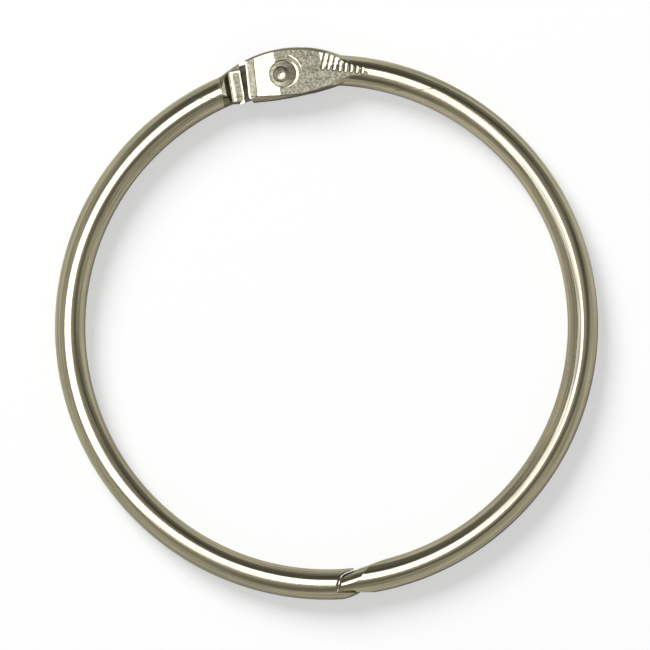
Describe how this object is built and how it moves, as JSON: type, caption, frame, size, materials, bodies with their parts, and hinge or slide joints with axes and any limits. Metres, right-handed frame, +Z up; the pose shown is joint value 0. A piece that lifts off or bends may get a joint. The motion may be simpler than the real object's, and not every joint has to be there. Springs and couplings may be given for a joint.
{
  "type": "hinged binder ring",
  "caption": "Round wire binder ring in two halves, with a riveted hinge in a flattened leaf and a snap lap where the halves close.",
  "frame": {"origin": "middle of the closed ring, at the level of the wire's lowest line", "axes": "+Z up out of the flat ring, along the rivet; +Y from the closure to the hinge's side of the ring; +X towards the nose half"},
  "size_m": [0.0572, 0.0582, 0.0032],
  "materials": {
    "plated_wire": "bright nickel plating on drawn steel wire, warm grey",
    "plated_rivet": "bright nickel plating, peened"
  },
  "bodies": {
    "socket_side": {"socket_half": "plated_wire"},
    "nose_side": {"nose_half": "plated_wire", "hinge_rivet": "plated_rivet"}
  },
  "joints": [
    {"name": "ring_hinge", "type": "hinge", "parent": "socket_side", "child": "nose_side", "pos_m": [-0.00469, 0.02659, 0.0016], "axis": [0, 0, 1], "range_deg": [0, 110]}
  ]
}
